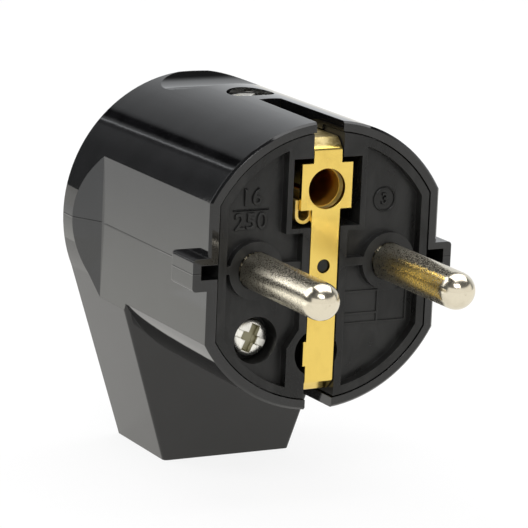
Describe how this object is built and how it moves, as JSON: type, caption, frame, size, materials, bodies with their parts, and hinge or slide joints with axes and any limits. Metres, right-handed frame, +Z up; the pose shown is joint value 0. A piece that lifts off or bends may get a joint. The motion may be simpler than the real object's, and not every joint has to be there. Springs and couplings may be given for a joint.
{
  "type": "type f plug",
  "caption": "Angled rewirable mains plug with round pins, side earth contact strip with a hole for a socket's earth pin, guide lugs and a tapered neck with the cable inlet below.",
  "frame": {"origin": "middle of the line between the two pins, in the front plane of the cover's rim", "axes": "-Y the way the pins point, into the socket; +Z up, towards the earth contact hole; -Z the way the cable leaves; +X to the right seen from the front"},
  "size_m": [0.0374, 0.0585, 0.0501],
  "materials": {
    "cover_plastic": "gloss",
    "carrier_plastic": "matte",
    "inner_plastic": "matte",
    "nickel": "satin",
    "brass": "satin",
    "screw_steel": "satin"
  },
  "bodies": {
    "root": {"cover": "cover_plastic", "contact_carrier": "carrier_plastic", "pin_left": "nickel", "pin_right": "nickel", "earth_strip": "brass", "earth_sleeve": "brass", "earth_washer": "screw_steel", "earth_screw": "screw_steel", "terminal_screws": "screw_steel", "terminal_bridge": "inner_plastic", "carrier_screw": "screw_steel", "cover_screw": "screw_steel", "cover_nut": "screw_steel", "cord_clamp": "inner_plastic", "clamp_screws": "screw_steel"}
  },
  "joints": []
}
